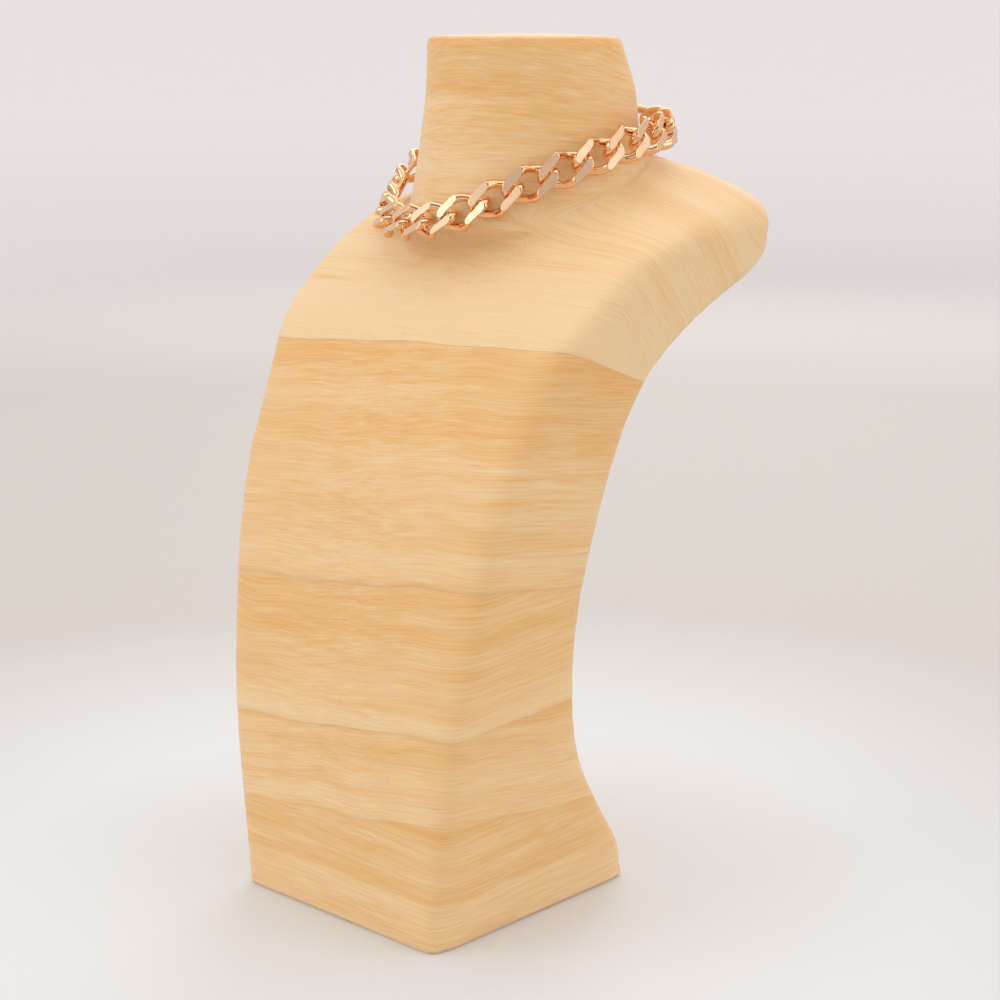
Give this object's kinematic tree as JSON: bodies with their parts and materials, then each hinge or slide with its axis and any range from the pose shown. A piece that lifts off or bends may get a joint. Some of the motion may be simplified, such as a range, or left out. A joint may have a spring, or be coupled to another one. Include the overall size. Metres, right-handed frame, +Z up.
{
  "type": "curb chain collar choker necklace on a neck bust",
  "caption": "Collar choker of heavy flat-ground curb links with a hidden clasp, lying round the neck of a plain fibre-wrapped display bust.",
  "frame": {"origin": "centre of the bust's flat base underside", "axes": "+Z up along the neck, -Y towards the chest, +X towards the bust's left shoulder"},
  "size_m": [0.195, 0.1884, 0.38],
  "materials": {
    "fibre_wrap": "overlapping bands of fine natural raffia-like fibre, dry and matt with a faint sheen",
    "gold_plate": "polished warm rose-yellow gold plating, mirror bright, with flat ground faces and rounded edges"
  },
  "bodies": {
    "root": {"bust": "fibre_wrap", "link_01": "gold_plate", "link_02": "gold_plate", "link_03": "gold_plate", "link_04": "gold_plate", "link_05": "gold_plate", "link_06": "gold_plate", "link_07": "gold_plate", "link_08": "gold_plate", "link_09": "gold_plate", "link_10": "gold_plate", "link_11": "gold_plate", "link_12": "gold_plate", "link_13": "gold_plate", "link_14": "gold_plate", "link_15": "gold_plate", "link_16": "gold_plate", "link_17": "gold_plate", "link_18": "gold_plate", "link_19": "gold_plate", "link_20": "gold_plate", "link_21": "gold_plate", "link_22": "gold_plate", "link_23": "gold_plate", "link_24": "gold_plate", "clasp": "gold_plate"}
  },
  "joints": []
}
